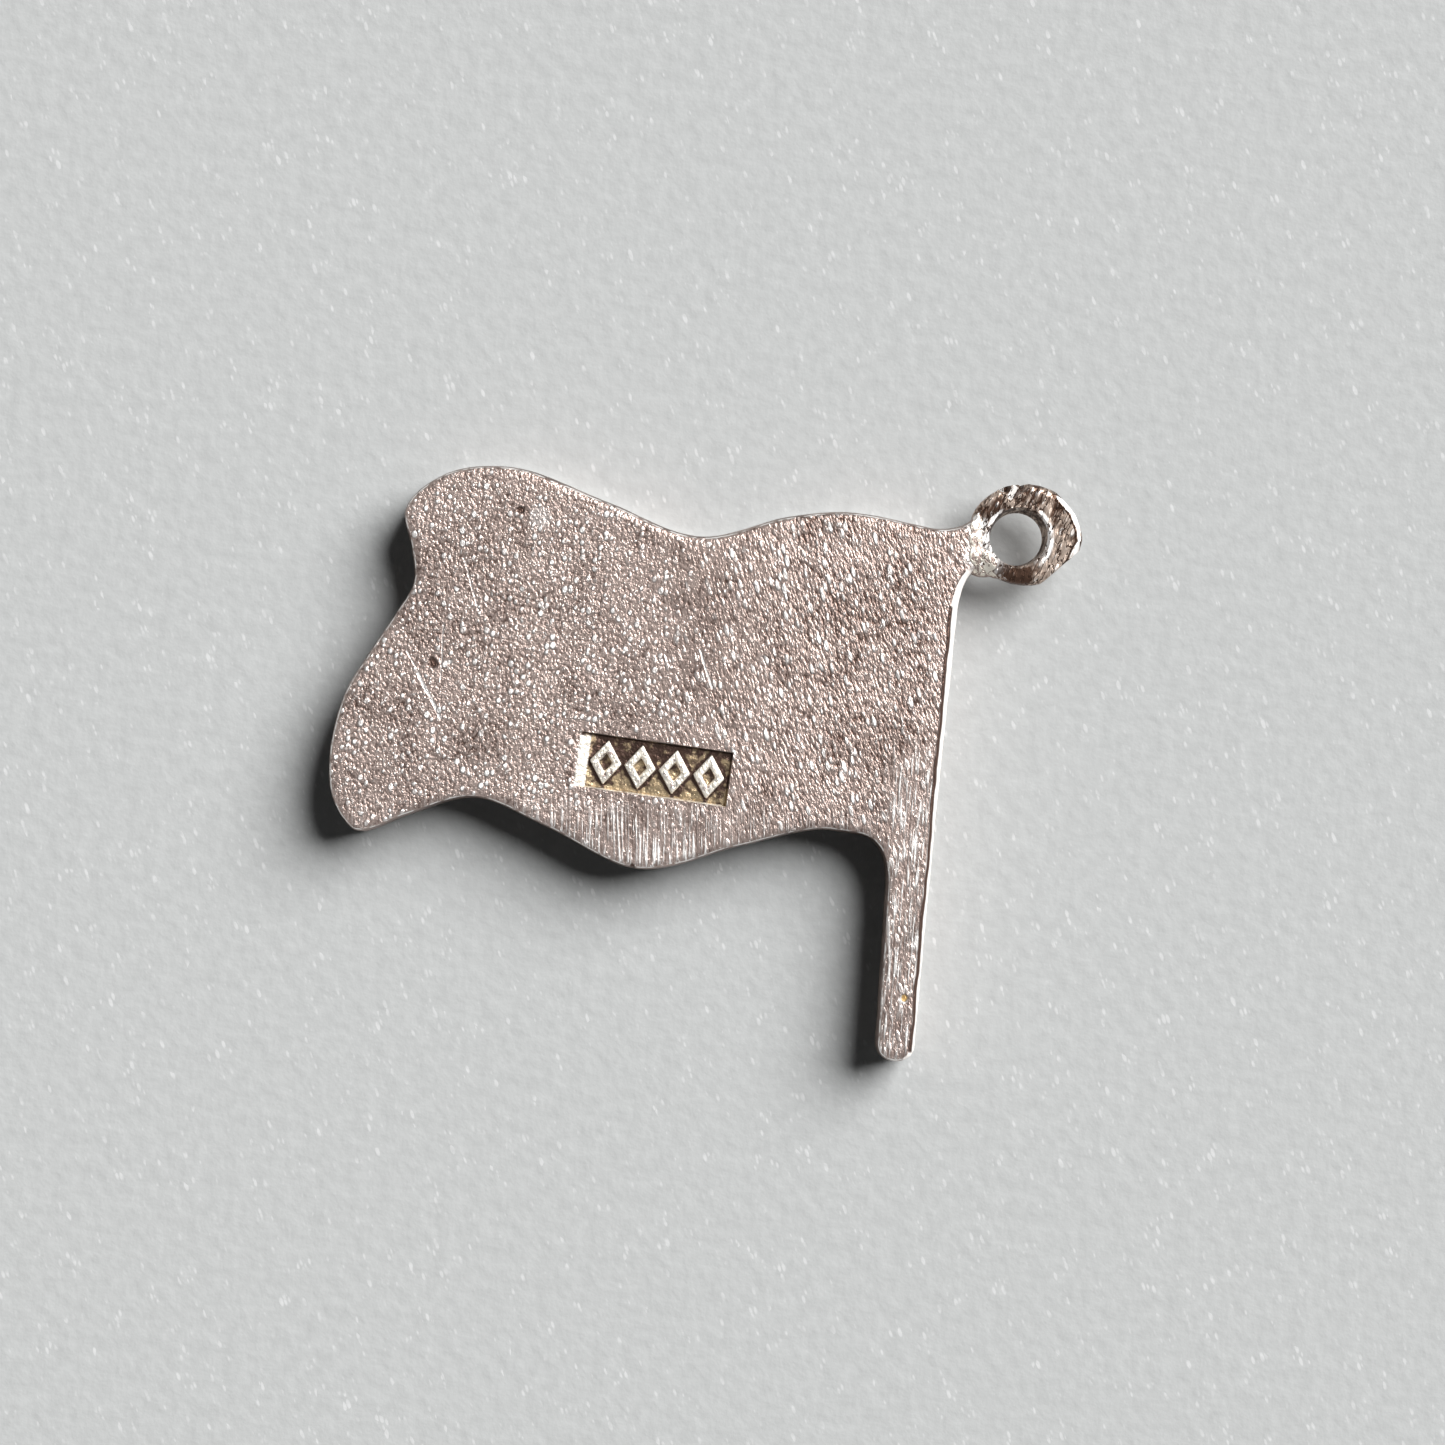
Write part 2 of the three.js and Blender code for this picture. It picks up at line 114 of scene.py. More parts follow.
def edit_some(piece, kind, wanted):
    """Opens a piece in edit mode with the faces or points selected that a test of place and normal picks."""
    edit_all(piece)
    bpy.ops.mesh.select_mode(type=kind)
    bpy.ops.mesh.select_all(action="DESELECT")
    bpy.ops.object.mode_set(mode="OBJECT")
    if kind == "FACE":
        for face in piece.data.polygons:
            face.select = wanted(face.center, face.normal)
    else:
        for point in piece.data.vertices:
            point.select = wanted(point.co, point.normal)
    bpy.ops.object.mode_set(mode="EDIT")


print("back at", round(BACK, 3), "mm")

# %% Add, place and join


def add(primitive, **sizes):
    """Adds a primitive, which is then the only thing selected."""
    pick_none()
    primitive(**sizes)
    return bpy.context.object


def settle(piece, location, turn=(0, 0, 0)):
    """Puts a piece in its place on the bench, and the place into its mesh."""
    pick_only(piece)
    piece.location = location
    piece.rotation_euler = turn
    bpy.ops.object.transform_apply(location=True, rotation=True, scale=True)


def join(piece, extra):
    """Puts the mesh of an extra piece into a piece."""
    pick_only(extra)
    piece.select_set(True)
    bpy.context.view_layer.objects.active = piece
    bpy.ops.object.join()


# %% Shape with modifiers
SMOOTH_SHARE = 0.5


def modify(piece, kind, **settings):
    """Adds a modifier with its settings and applies it at once."""
    pick_only(piece)
    modifier = piece.modifiers.new(kind.lower(), kind)
    for name, value in settings.items():
        setattr(modifier, name, value)
    bpy.ops.object.modifier_apply(modifier=modifier.name)


def work(piece, operation, tool):
    """Cuts a tool out of a piece, or adds it on, and puts the tool away."""
    modify(piece, "BOOLEAN", operation=operation, object=tool, solver="MANIFOLD")
    bpy.data.objects.remove(tool)


def melt(piece, voxel, passes):
    """Gives a piece one even skin, and rounds its edges in so many passes."""
    modify(piece, "REMESH", mode="VOXEL", voxel_size=voxel)
    modify(piece, "SMOOTH", factor=SMOOTH_SHARE, iterations=passes)


def swell(piece, growth):
    """Moves a skin outwards all over."""
    modify(piece, "DISPLACE", strength=growth, mid_level=0)


def roughen(piece, size, depth):
    """Pushes a skin in by up to a depth, in random lumps of a size, and never out past its solid."""
    lumps = bpy.data.textures.new(piece.name + "_lumps", "CLOUDS")
    lumps.noise_scale = size
    modify(piece, "DISPLACE", texture=lumps, texture_coords="LOCAL", strength=depth, mid_level=1)


# %% Start from the frame, and hand in
MERGE_GAP = 0.0005


def bench_copy(node, name):
    """A copy of a frame node on the bench, with its loose triangles merged into one skin."""
    piece = bpy.data.objects.new(name, frame["nodes"][node].data.copy())
    bpy.context.scene.collection.objects.link(piece)
    piece.data.materials.clear()
    edit_all(piece)
    bpy.ops.transform.resize(value=(BENCH,) * 3, center_override=(0, 0, 0))
    bpy.ops.mesh.remove_doubles(threshold=MERGE_GAP)
    bpy.ops.mesh.customdata_custom_splitnormals_clear()
    bpy.ops.object.mode_set(mode="OBJECT")
    return piece


def hand_in(piece, material, slot, *nodes, crisp=35):
    """Makes a finished piece small again, gives it its finish and puts it in place of frame nodes."""
    pick_only(piece)
    bpy.ops.object.shade_smooth_by_angle(angle=math.radians(crisp))
    edit_all(piece)
    bpy.ops.transform.resize(value=(MM,) * 3, center_override=(0, 0, 0))
    bpy.ops.object.mode_set(mode="OBJECT")
    piece.data.materials.clear()
    piece.data.materials.append(material)
    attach(piece, "root")
    if nodes:
        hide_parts(*nodes)
    triangles = sum(len(face.vertices) - 2 for face in piece.data.polygons)
    print(piece.name, triangles, "triangles")


# %% [markdown]
# ## Camera
#
# The charm was photographed from straight above, so the camera looks down at the back. The
# picture is a little over 32 mm wide at the level of the back, and the pole leans to the right in it,
# so the camera is turned about its own axis.

# %% Camera
PICTURE_WIDTH = 32.47
LOOKS_AT = (0.515, 0.72)
CAMERA_TURN = math.radians(4.5)
CAMERA_HEIGHT = 90
SENSOR_WIDTH = 36

camera_data = bpy.data.cameras.new("camera")
camera_data.sensor_width = SENSOR_WIDTH
camera_data.lens = SENSOR_WIDTH * CAMERA_HEIGHT / PICTURE_WIDTH
camera_data.clip_start = MM
camera = bpy.data.objects.new("camera", camera_data)
bpy.context.scene.collection.objects.link(camera)
camera.location = Vector((*LOOKS_AT, BACK + CAMERA_HEIGHT)) * MM
camera.rotation_euler = (0, 0, CAMERA_TURN)
bpy.context.scene.camera = camera
bpy.context.scene.view_settings.view_transform = "Standard"
print("lens", round(camera_data.lens, 1), "mm")

# %% [markdown]
# ## Shader sums
#
# A finish is made of sums over the surface: how deep a scratch is, how far a point lies from an edge.
# Written as node after node they are hard to read, so this class wraps a socket and lets Python's own
# signs add the Math nodes. Every other node comes from its one method, node.


# %% Wire, a socket that can be used in sums
class Wire:
    """An output socket of a node tree."""

    def __init__(self, socket):
        self.socket = socket

    def node(self, kind, inputs, output=0, **settings):
        """Adds a node with its settings, then sets or joins its inputs, and gives one of its outputs."""
        tree = self.socket.id_data
        made = tree.nodes.new(kind)
        for name, value in settings.items():
            setattr(made, name, value)
        for key, value in inputs.items():
            if isinstance(value, Wire):
                tree.links.new(value.socket, made.inputs[key])
            else:
                made.inputs[key].default_value = value
        return Wire(made.outputs[output])

    def maths(self, operation, *values):
        return self.node("ShaderNodeMath", dict(enumerate(values)), operation=operation)

    def __add__(self, other):
        return self.maths("ADD", self, other)

    def __mul__(self, other):
        return self.maths("MULTIPLY", self, other)

    def __sub__(self, other):
        return self.maths("SUBTRACT", self, other)

    def __rsub__(self, other):
        return self.maths("SUBTRACT", other, self)

    def __abs__(self):
        return self.maths("ABSOLUTE", self)

    __radd__ = __add__
    __rmul__ = __mul__

    def or_more(self, other):
        """The larger of two values."""
        return self.maths("MAXIMUM", self, other)

    def reach(self, other):
        """How far a point lies from the origin, from its two distances along the axes."""
        return self.maths("SQRT", self * self + other * other)

    def step(self, low, high):
        """Runs smoothly from 0 where the value is low to 1 where it is high."""
        inputs = {"Value": self, "From Min": low, "From Max": high}
        return self.node("ShaderNodeMapRange", inputs, interpolation_type="SMOOTHSTEP")

    def below(self, high, soft):
        """1 where the value lies under a limit, running out softly above it."""
        return 1 - self.step(high, high + soft)

    def mix(self, first, second):
        """The first colour where this value is 0, and the second where it is 1."""
        colours = {6: first if isinstance(first, Wire) else (*first, 1)}
        colours[7] = second if isinstance(second, Wire) else (*second, 1)
        return self.node("ShaderNodeMix", {0: self, **colours}, output=2, data_type="RGBA")

    def laid(self, stretch=(1, 1, 1), turn=0, origin=(0, 0, 0)):
        """This place seen from an origin, with axes that are turned about Z and then stretched."""
        inputs = {"Vector": self, "Scale": stretch, "Rotation": (0, 0, turn), "Location": origin}
        return self.node("ShaderNodeMapping", inputs, vector_type="TEXTURE")

    def noise(self, size, detail=2):
        """Random tones in lumps of about a size, around 0.5."""
        inputs = {"Vector": self, "Scale": 1 / size, "Detail": detail}
        return self.node("ShaderNodeTexNoise", inputs)

    def beads(self, size):
        """Round beads of many widths, scattered about a size apart: 1 on a bead and 0 between."""
        inputs = {"Vector": self, "Scale": 1 / size}
        away = self.node("ShaderNodeTexVoronoi", inputs)
        chance = Wire(away.socket.node.outputs["Color"]).axes()[0]
        return (0.8 * chance - 0.2 - away).step(0, 0.25)

    def axes(self):
        return [self.node("ShaderNodeSeparateXYZ", {"Vector": self}, output=axis) for axis in range(3)]

    def bump(self, height, distance):
        """This normal, tilted by a height whose unit is a distance in metres."""
        inputs = {"Height": height, "Strength": 1, "Distance": distance, "Normal": self}
        return self.node("ShaderNodeBump", inputs)


# %% Helpers for a finish
def largest(wires):
    """The largest of several values."""
    most, *others = wires
    for other in others:
        most = most.or_more(other)
    return most


def toned(colour, share):
    """A colour made darker or lighter by a share."""
    return [share * part for part in colour]


def new_finish(name):
    """A material, its main shader, the place on the surface in millimetres, and the plain normal."""
    material = bpy.data.materials.new(name)
    material.use_nodes = True
    tree = material.node_tree
    place = Wire(tree.nodes.new("ShaderNodeTexCoord").outputs["Object"]).laid((MM,) * 3)
    normal = Wire(tree.nodes.new("ShaderNodeNewGeometry").outputs["Normal"])
    return material, tree.nodes["Principled BSDF"], place, normal


def wire_up(shader, **sockets):
    """Joins wires to a shader's sockets."""
    for name, wire in sockets.items():
        shader.id_data.links.new(wire.socket, shader.inputs[name.replace("_", " ")])


def count_nodes(material):
    """Prints how many nodes a finish has so far."""
    print(material.name, len(material.node_tree.nodes), "nodes")


# %% [markdown]
# ## Floor and light
#
# The charm lies on a sheet of pale grey plastic with a fine grain and bright flecks. One large soft
# light stands at the upper right, and almost nothing fills in from the left, so the shadows start black
# at the edge of the metal and soften within a few millimetres. A sun lamp with a wide disc does this,
# and lights a distant floor as evenly as the near one. The world only fills in: metal sees it pale, and
# the shadows see it dim.

# %% Floor
FLOOR_METRES = 3.0
FLOOR_COLOUR = (0.61, 0.62, 0.615)
FLOOR_BUMP = 0.02 * MM
FLECK_COLOUR = (0.9, 0.9, 0.9)
FLECK_STRENGTH = 0.55

floor = add(bpy.ops.mesh.primitive_plane_add, size=FLOOR_METRES)
floor.name = "floor"

floor_finish, shader, place, normal = new_finish("pale_plastic")
shader.inputs["Roughness"].default_value = 0.5
shader.inputs["Specular IOR Level"].default_value = 0.05
grain = place.noise(0.35, detail=3)
flecks = place.laid((0.6, 1.5, 1), turn=0.4).beads(0.17) * place.noise(0.5).step(0.45, 0.65)
tone = grain.mix(toned(FLOOR_COLOUR, 0.9), toned(FLOOR_COLOUR, 1.1))
wire_up(shader, Base_Color=(flecks * FLECK_STRENGTH).mix(tone, FLECK_COLOUR))
wire_up(shader, Normal=normal.bump(grain, FLOOR_BUMP))
floor.data.materials.append(floor_finish)
count_nodes(floor_finish)

# %% Light
SUN_AZIMUTH = math.radians(37) + CAMERA_TURN
SUN_HEIGHT = math.radians(38)
SUN_WIDTH = math.radians(44)
SUN_STRENGTH = 4.9

sun_data = bpy.data.lights.new("window", "SUN")
sun_data.energy = SUN_STRENGTH
sun_data.angle = SUN_WIDTH
sun = bpy.data.objects.new("window", sun_data)
bpy.context.scene.collection.objects.link(sun)
sun.rotation_euler = (0, math.pi / 2 - SUN_HEIGHT, SUN_AZIMUTH)
print("sun", round(math.degrees(SUN_HEIGHT)), "degrees high")

# %% World
ROOM_COLOUR = (0.96, 0.98, 1, 1)
FILL = 0.035
PALE = 0.5

world = bpy.data.worlds.new("world")
bpy.context.scene.world = world
world.use_nodes = True
background = world.node_tree.nodes["Background"]
rays = world.node_tree.nodes.new("ShaderNodeLightPath").outputs
seen = Wire(rays["Is Camera Ray"]) + Wire(rays["Is Glossy Ray"]) + Wire(rays["Is Transmission Ray"])
backdrop = seen.step(0, 1) * (1 - Wire(rays["Diffuse Depth"]).step(0, 1))
background.inputs["Color"].default_value = ROOM_COLOUR
wire_up(background, Strength=FILL + (PALE - FILL) * backdrop)
print("the shadows see", round(100 * FILL / PALE), "percent of what the metal sees")

# %% [markdown]
# ## Cast silver
#
# The back is a cast skin that was rubbed flat. The tops of its grains are worn bright, and brown
# tarnish lies in the hollows between them. A few scratches and pits are listed one by one, because a
# random pattern would put them somewhere else: a scratch has a start, an end, a width and a strength,
# and a pit has a middle and a radius, all on the back. The filed edge of the pole is a line on it too.

# %% Struck panel on the back
PANEL_MIDDLE = (-0.965, -0.445)
PANEL_TURN = math.radians(-3.5)
PANEL_LENGTH = 3.4
PANEL_HEIGHT = 1.14
PANEL_DEPTH = 0.18
PANEL_DRAFT = 0.06
PANEL_LEFT_RUN = 0.42
LOZENGE_COUNT = 4
LOZENGE_WIDTH = 0.8
LOZENGE_HEIGHT = 1.12
LOZENGE_PITCH = 0.78
LOZENGE_SHIFT = 0.1

print("panel", PANEL_LENGTH, "by", PANEL_HEIGHT, "mm with", LOZENGE_COUNT, "lozenges")

# %% Scratches, pits and the filed edge
SCRATCHES = [
    ((-6.69, 1.79), (-6.2, 0.98), 0.02, 0.4),
    ((-6.4, 1.32), (-5.78, 0.28), 0.035, 0.75),
    ((-0.11, 2.31), (0.23, 1.43), 0.025, 0.65),
    ((-5.91, 2.45), (-5.87, 1.18), 0.02, 0.4),
    ((-5.58, 3.98), (-5.1, 2.67), 0.02, 0.35),
    ((-5.8, 1.58), (-5.6, 1.61), 0.05, 0.7),
]
PITS = [((-6.07, 1.54), 0.13), ((-4.37, 5.13), 0.1), ((-1.25, -2.65), 0.07)]
GOLD_PIT = ((5.07, -5.13), 0.09)
GOLD_PIT_RIM = ((5.04, -5.16), 0.12)
RUBBED_SPOT = ((-3.93, 5.0), 0.3)
EDGE_LOW = (5.3, -6.35)
EDGE_HIGH = (5.42, 3.75)
SEAM_WIDTH = 0.04


def stroke(place, start, end, width, stray=2.4):
    """1 along a stroke between two points of the back, which strays by a share of its width."""
    run = Vector(end) - Vector(start)
    along, across, _ = place.laid(turn=math.atan2(run.y, run.x), origin=(*start, 0)).axes()
    wander = stray * width * (place.noise(20 * width) - 0.5)
    inside = along.step(-width, width) * along.below(run.length - 2 * width, 2 * width)
    return inside * abs(across + wander).below(0.4 * width, width)


def pit_mark(place, middle, radius):
    """1 in a pit of the back."""
    x, y, _ = place.laid(origin=(*middle, 0)).axes()
    return (x.reach(y) + radius * (place.noise(0.12) - 0.5)).below(0.5 * radius, 0.6 * radius)


print(len(SCRATCHES), "scratches and", len(PITS) + 1, "pits")

# %% [markdown]
# ## Where the cast silver changes
#
# A finish starts with masks, values that are 1 in one place and 0 elsewhere. The normal tells the flat
# back from its rounded edge, the height tells the floor of the struck panel from the back, and x and y
# tell the pole and the lower hem of the flag from the rest: there a file has gone over the skin.

# %% Places on the casting
POLE_SIDE = (4.1, 4.5)
HEM_TOP = (1.3, 2.9)
HEM_START = (-6.5, -3.5)

cast_silver, shader, place, normal = new_finish("cast_silver")
shader.inputs["Metallic"].default_value = 1
x, y, z = place.axes()
sideways, _, facing = normal.axes()
depth = BACK - z
on_back = depth.below(0.3, 0.1)

along, across, _ = place.laid(turn=PANEL_TURN, origin=(*PANEL_MIDDLE, 0)).axes()
inside = abs(along).below(PANEL_LENGTH / 2 + 0.2, 0.02)
inside = inside * abs(across).below(PANEL_HEIGHT / 2 + 0.08, 0.02) * on_back
sunk = inside * depth.step(0.035, 0.065)
ground = inside * depth.step(PANEL_DEPTH - 0.04, PANEL_DEPTH - 0.02)
# Painted shade: the upper and right walls of the panel, turned from the lamp, are darkened with the stain
# below.
upper_wall = across.step(PANEL_HEIGHT / 2 - 0.07, PANEL_HEIGHT / 2 + 0.01)
right_wall = along.step(PANEL_LENGTH / 2 - 0.06, PANEL_LENGTH / 2)
painted_wall_shade = upper_wall.or_more(right_wall) * sunk
flat = facing.step(0.6, 0.75) * (1 - sunk)

on_pole = x.step(*POLE_SIDE) * y.below(0, 1)
on_hem = (1.2 * place.noise(0.9) - y).step(*HEM_TOP) * (0.3 + 0.7 * x.step(*HEM_START))
filed = 0.75 * (0.75 * on_hem * (1 - on_pole)).or_more(0.65 * on_pole)
count_nodes(cast_silver)

# %% [markdown]
# ## Grain and file lines
#
# The grain is round beads over fine crumbs. Both stand upright at the fly, and towards the pole they
# are drawn out and lean over, so each is made twice and the two are blended along x. The lines of the
# file are the same kind of noise, stretched until each lump is a line.

# %% Grain and file lines
BEAD = 0.135
CRUMB = 0.07
LINE = 0.1
HEM_LINE_TURN = math.radians(4.5)
DRAWN_OUT = (-3.5, 3)

pole_lines = place.laid((0.45, 7, 1)).noise(LINE, detail=3)
hem_lines = place.laid((0.45, 9, 1), turn=HEM_LINE_TURN).noise(LINE, detail=3)
file_lines = pole_lines * on_pole + hem_lines * (1 - on_pole)

towards_pole = x.step(*DRAWN_OUT)
upright = place.laid((1, 1.3, 1), turn=0.08)
leaning = place.laid((0.85, 2.2, 1), turn=0.35)
beads = upright.beads(BEAD) * (1 - towards_pole) + leaning.beads(BEAD) * towards_pole
crumbs = upright.noise(CRUMB) * (1 - towards_pole) + leaning.noise(CRUMB) * towards_pole
blotches = place.noise(0.9, detail=3).step(0.35, 0.7)
cast_tops = (beads * (1 - 0.5 * blotches)).or_more(0.5 * crumbs.step(0.58, 0.72))
tops = (cast_tops * (1 - filed)).or_more(file_lines.step(0.52, 0.62) * filed.step(0, 0.65))
grain = crumbs * (1 - filed) + file_lines * filed
hollows = (1 - grain).step(0.5, 0.66)
count_nodes(cast_silver)

# %% [markdown]
# ## Marks
#
# Scratches and the rubbed spot are bright, because they go through the tarnish. Pits hold tarnish, and
# the seam beside the filed edge is painted as a dark line. One pit in the pole has a warm golden stain.

# %% Marks on the back
scratches = largest(strength * stroke(place, *line) for *line, strength in SCRATCHES)
seam = stroke(place, EDGE_LOW, EDGE_HIGH, SEAM_WIDTH)
pits = largest(pit_mark(place, *pit) for pit in PITS).or_more(seam) * on_back
gold_pit = pit_mark(place, *GOLD_PIT) * on_back
marks = largest([scratches, pit_mark(place, *GOLD_PIT_RIM), 0.33 * pit_mark(place, *RUBBED_SPOT)]) * on_back
count_nodes(cast_silver)

# %% [markdown]
# ## Edges and walls
#
# The edge of the back is worn bright in a ragged line. The walls are darkened all round as painted shade,
# and more in patches and along the lines of the file, where they are tarnished. The front has been polished,
# so it is paler and cleaner.

# %% Edges, walls and tarnish
TARNISH = (0.12, 0.075, 0.06)
SKIN = (0.56, 0.437, 0.388)
POLISHED = (0.82, 0.79, 0.76)

ragged = place.noise(0.25, detail=4)
arris = facing.step(0.25, 0.4) * (1 - flat) * ragged.step(0.4, 0.55)
filed_edge = sideways.step(0.25, 0.4) * x.step(5, 5.2) * y.below(4.5, 0.2) * facing.step(0, 0.2)
rim = facing.below(0.35, 0.35)
front = facing.below(-0.6, 0.3).or_more(z.below(0.15, 0.15))
wall_lines = place.laid((5, 5, 0.35)).noise(0.12, detail=4)
wall_tarnish = (0.5 * ragged + 0.9 * place.noise(1.3) + 0.5 * wall_lines).step(0.75, 1.15)
tinge = 0.2 * towards_pole * (1 - filed.step(0, 0.75)) - 0.1 * filed - 0.05
back_tarnish = hollows * 0.6 + blotches * 0.4 + tinge
# Painted shade: every wall of the casting is darkened at least a third of the way to tarnish, and more in
# tarnished patches.
tarnish_and_wall_shade = back_tarnish * (1 - rim) + (0.35 + 0.6 * wall_tarnish) * rim * (1 - front)
skin = front.mix(tarnish_and_wall_shade.mix(SKIN, TARNISH), POLISHED)
count_nodes(cast_silver)

# %% [markdown]
# ## Worn metal
#
# In the panel, the bands of the lozenges are bright, and the lower and left walls of the panel are painted
# bright as lit. The finish has to find the bands, so it folds the row of four into one with a ping-pong
# sum, and measures how far a point lies from the middle of its lozenge: the measure is 1 on the outline.
# The neck is bright too, where solder ran over it.

# %% Worn metal
NECK_SIDE = (5.82, 6.08)
NECK_FOOT = (4.2, 4.5)

step_on = along + (LOZENGE_PITCH / 2 - LOZENGE_SHIFT)
aside = step_on.maths("PINGPONG", step_on, LOZENGE_PITCH / 2)
from_middle = (2 / LOZENGE_WIDTH) * aside + (2 / LOZENGE_HEIGHT) * abs(across)
band = from_middle.step(0.36, 0.44) * from_middle.below(0.98, 0.06) * inside
band = band * abs(along - LOZENGE_SHIFT).below(LOZENGE_COUNT / 2 * LOZENGE_PITCH, 0.02)
crumbly = place.noise(0.12, detail=3)
# Painted light: the lower and left walls of the panel, which face the lamp, are painted cream like the worn
# bands.
bands_and_lit_walls = (sunk - ground).or_more(0.9 * band * (1 - ground)) * (1 - painted_wall_shade) * crumbly.step(0.3, 0.5)
soldered = 0.75 * (x + 0.5 * ragged).step(*NECK_SIDE) * y.step(*NECK_FOOT)
soldered = soldered * (1 - hollows) * facing.step(0.5, 0.8)
wear_and_painted_light = largest([tops * flat, marks, arris, filed_edge, bands_and_lit_walls, soldered])
count_nodes(cast_silver)

# %% [markdown]
# ## Colour and relief
#
# The masks are now laid over each other like coats of paint: skin, worn metal, the cream of the struck
# bands and of the lit panel walls, the golden brown stain on the floor of the panel with painted shade on it
# and on the upper and right walls, and the pits. The relief is the same masks again, as heights.

# %% Colour and relief of the cast silver
BRIGHT = (0.95, 0.92, 0.89)
CREAM = (0.92, 0.85, 0.74)
GOLDEN = (0.44, 0.335, 0.21)
GOLD_STAIN = (0.7, 0.45, 0.18)
SKIN_BUMP = 0.04 * MM

# Painted shade: the stain is darker round the foot of each lozenge, and it runs darker towards the upper
# wall.
painted_lozenge_shade = from_middle.step(0.3, 0.42) * (1 - from_middle.step(0.95, 1.25))
golden = (place.noise(0.2, detail=3) - 0.18 * across) * (1 - 0.45 * painted_lozenge_shade)
stain_and_painted_shade = golden.step(0.4, 0.6).mix(toned(TARNISH, 0.7), GOLDEN)
colour = bands_and_lit_walls.mix(wear_and_painted_light.mix(skin, BRIGHT), CREAM)
colour = pits.mix(ground.or_more(painted_wall_shade).mix(colour, stain_and_painted_shade), TARNISH)
wire_up(shader, Base_Color=gold_pit.mix(colour, GOLD_STAIN))
wire_up(shader, Roughness=0.34 + 0.2 * wear_and_painted_light - 0.12 * front + 0.35 * filed_edge)

relief = flat * (1 - filed_edge) * (tops + grain) - pits - 0.5 * scratches - gold_pit
relief = relief + 1.2 * sunk * crumbly + 0.6 * rim * wall_lines + 0.6 * filed_edge * pole_lines
wire_up(shader, Normal=normal.bump(relief, SKIN_BUMP))
count_nodes(cast_silver)

# %% [markdown]
# ## Casting
#
# The flag and its pole are one piece of metal. The frame's solid has the right outline, but its facets
# and its knife-sharp edges are those of a drawing. A voxel remesh gives it an even skin, smoothing
# rounds the edges as tumbling does, and two shallow displacements make the faces uneven. They only push
# inwards, so the piece stays inside its solid. The remesh would soften the struck panel too, so a block
# fills that in first.

# %% Casting
CAST_VOXEL = 0.062
CAST_PASSES = 3
CAST_WAVES = (0.9, 0.02)
CAST_LUMPS = (0.2, 0.012)
FILLER = (1.1 * PANEL_LENGTH, 1.2 * PANEL_HEIGHT, 2 * PANEL_DEPTH)

casting = bench_copy("charm_body", "casting")
filler = add(bpy.ops.mesh.primitive_cube_add, size=1, scale=FILLER)
settle(filler, (*PANEL_MIDDLE, BACK - PANEL_DEPTH), (0, 0, PANEL_TURN))
join(casting, filler)
melt(casting, CAST_VOXEL, CAST_PASSES)
roughen(casting, *CAST_WAVES)
roughen(casting, *CAST_LUMPS)
print("casting", len(casting.data.polygons), "faces")

# %% [markdown]
# ## Struck panel
#
# A punch has left a small sunk panel with a row of four plain lozenges in relief, each a raised band
# round a sunk middle. The punch was held a little askew, so the left wall is a wide slope, which the finish
# paints bright as lit. The panel is cut with a crisp block, the die. Half of the die stands above the back,
# so what its top gains is twice what the panel shows.

# %% Sunk panel
DIE_FOOT_RUN = 0.7 * PANEL_LEFT_RUN

die = add(bpy.ops.mesh.primitive_cube_add, size=1, scale=(PANEL_LENGTH, PANEL_HEIGHT, 2 * PANEL_DEPTH))
bpy.ops.object.transform_apply(scale=True)
edit_some(die, "FACE", lambda place, normal: normal.z > 0.5)
wider = (1 + 4 * PANEL_DRAFT / PANEL_LENGTH, 1 + 4 * PANEL_DRAFT / PANEL_HEIGHT, 1)
bpy.ops.transform.resize(value=wider)
edit_some(die, "VERT", lambda place, normal: place.z > 0 and place.x < 0)
bpy.ops.transform.translate(value=(-PANEL_LEFT_RUN, 0, 0))
edit_some(die, "VERT", lambda place, normal: place.z < 0 and place.x < 0)
bpy.ops.transform.translate(value=(DIE_FOOT_RUN, 0, 0))
settle(die, (*PANEL_MIDDLE, BACK), (0, 0, PANEL_TURN))
work(casting, "DIFFERENCE", die)
print("panel", PANEL_DEPTH, "mm deep")

# %% [markdown]
# ## Lozenges
#
# A cylinder with four sides is a lozenge already. Its top is drawn in for a slope, inset for the band,
# and the middle is sunk. It is modelled once, copied along the panel with an Array modifier, and set on
# the floor.

# %% Lozenges
LOZENGE_RELIEF = 0.15
LOZENGE_TAPER = 0.86
LOZENGE_BEVEL = 0.03
BAND_WIDTH = 0.13
BAND_SLOPE = 0.04

lozenge = add(bpy.ops.mesh.primitive_cylinder_add, vertices=4, radius=0.5, depth=1)
lozenge.scale = (LOZENGE_WIDTH, LOZENGE_HEIGHT, 2 * LOZENGE_RELIEF)
bpy.ops.object.transform_apply(scale=True)
edit_some(lozenge, "FACE", lambda place, normal: normal.z > 0.5)
bpy.ops.transform.resize(value=(LOZENGE_TAPER, LOZENGE_TAPER, 1))
bpy.ops.mesh.inset(thickness=BAND_WIDTH)
bpy.ops.mesh.inset(thickness=BAND_SLOPE)
bpy.ops.transform.translate(value=(0, 0, -LOZENGE_RELIEF))
bpy.ops.object.mode_set(mode="OBJECT")
modify(lozenge, "BEVEL", width=LOZENGE_BEVEL, segments=2, limit_method="ANGLE")
modify(lozenge, "ARRAY", count=LOZENGE_COUNT, use_relative_offset=False, use_constant_offset=True,
       constant_offset_displace=(LOZENGE_PITCH, 0, 0))
settle(lozenge, (LOZENGE_SHIFT - LOZENGE_PITCH * (LOZENGE_COUNT - 1) / 2, 0, 0))
settle(lozenge, (*PANEL_MIDDLE, BACK - PANEL_DEPTH), (0, 0, PANEL_TURN))
work(casting, "UNION", lozenge)
print(LOZENGE_COUNT, "lozenges", LOZENGE_RELIEF, "mm high")

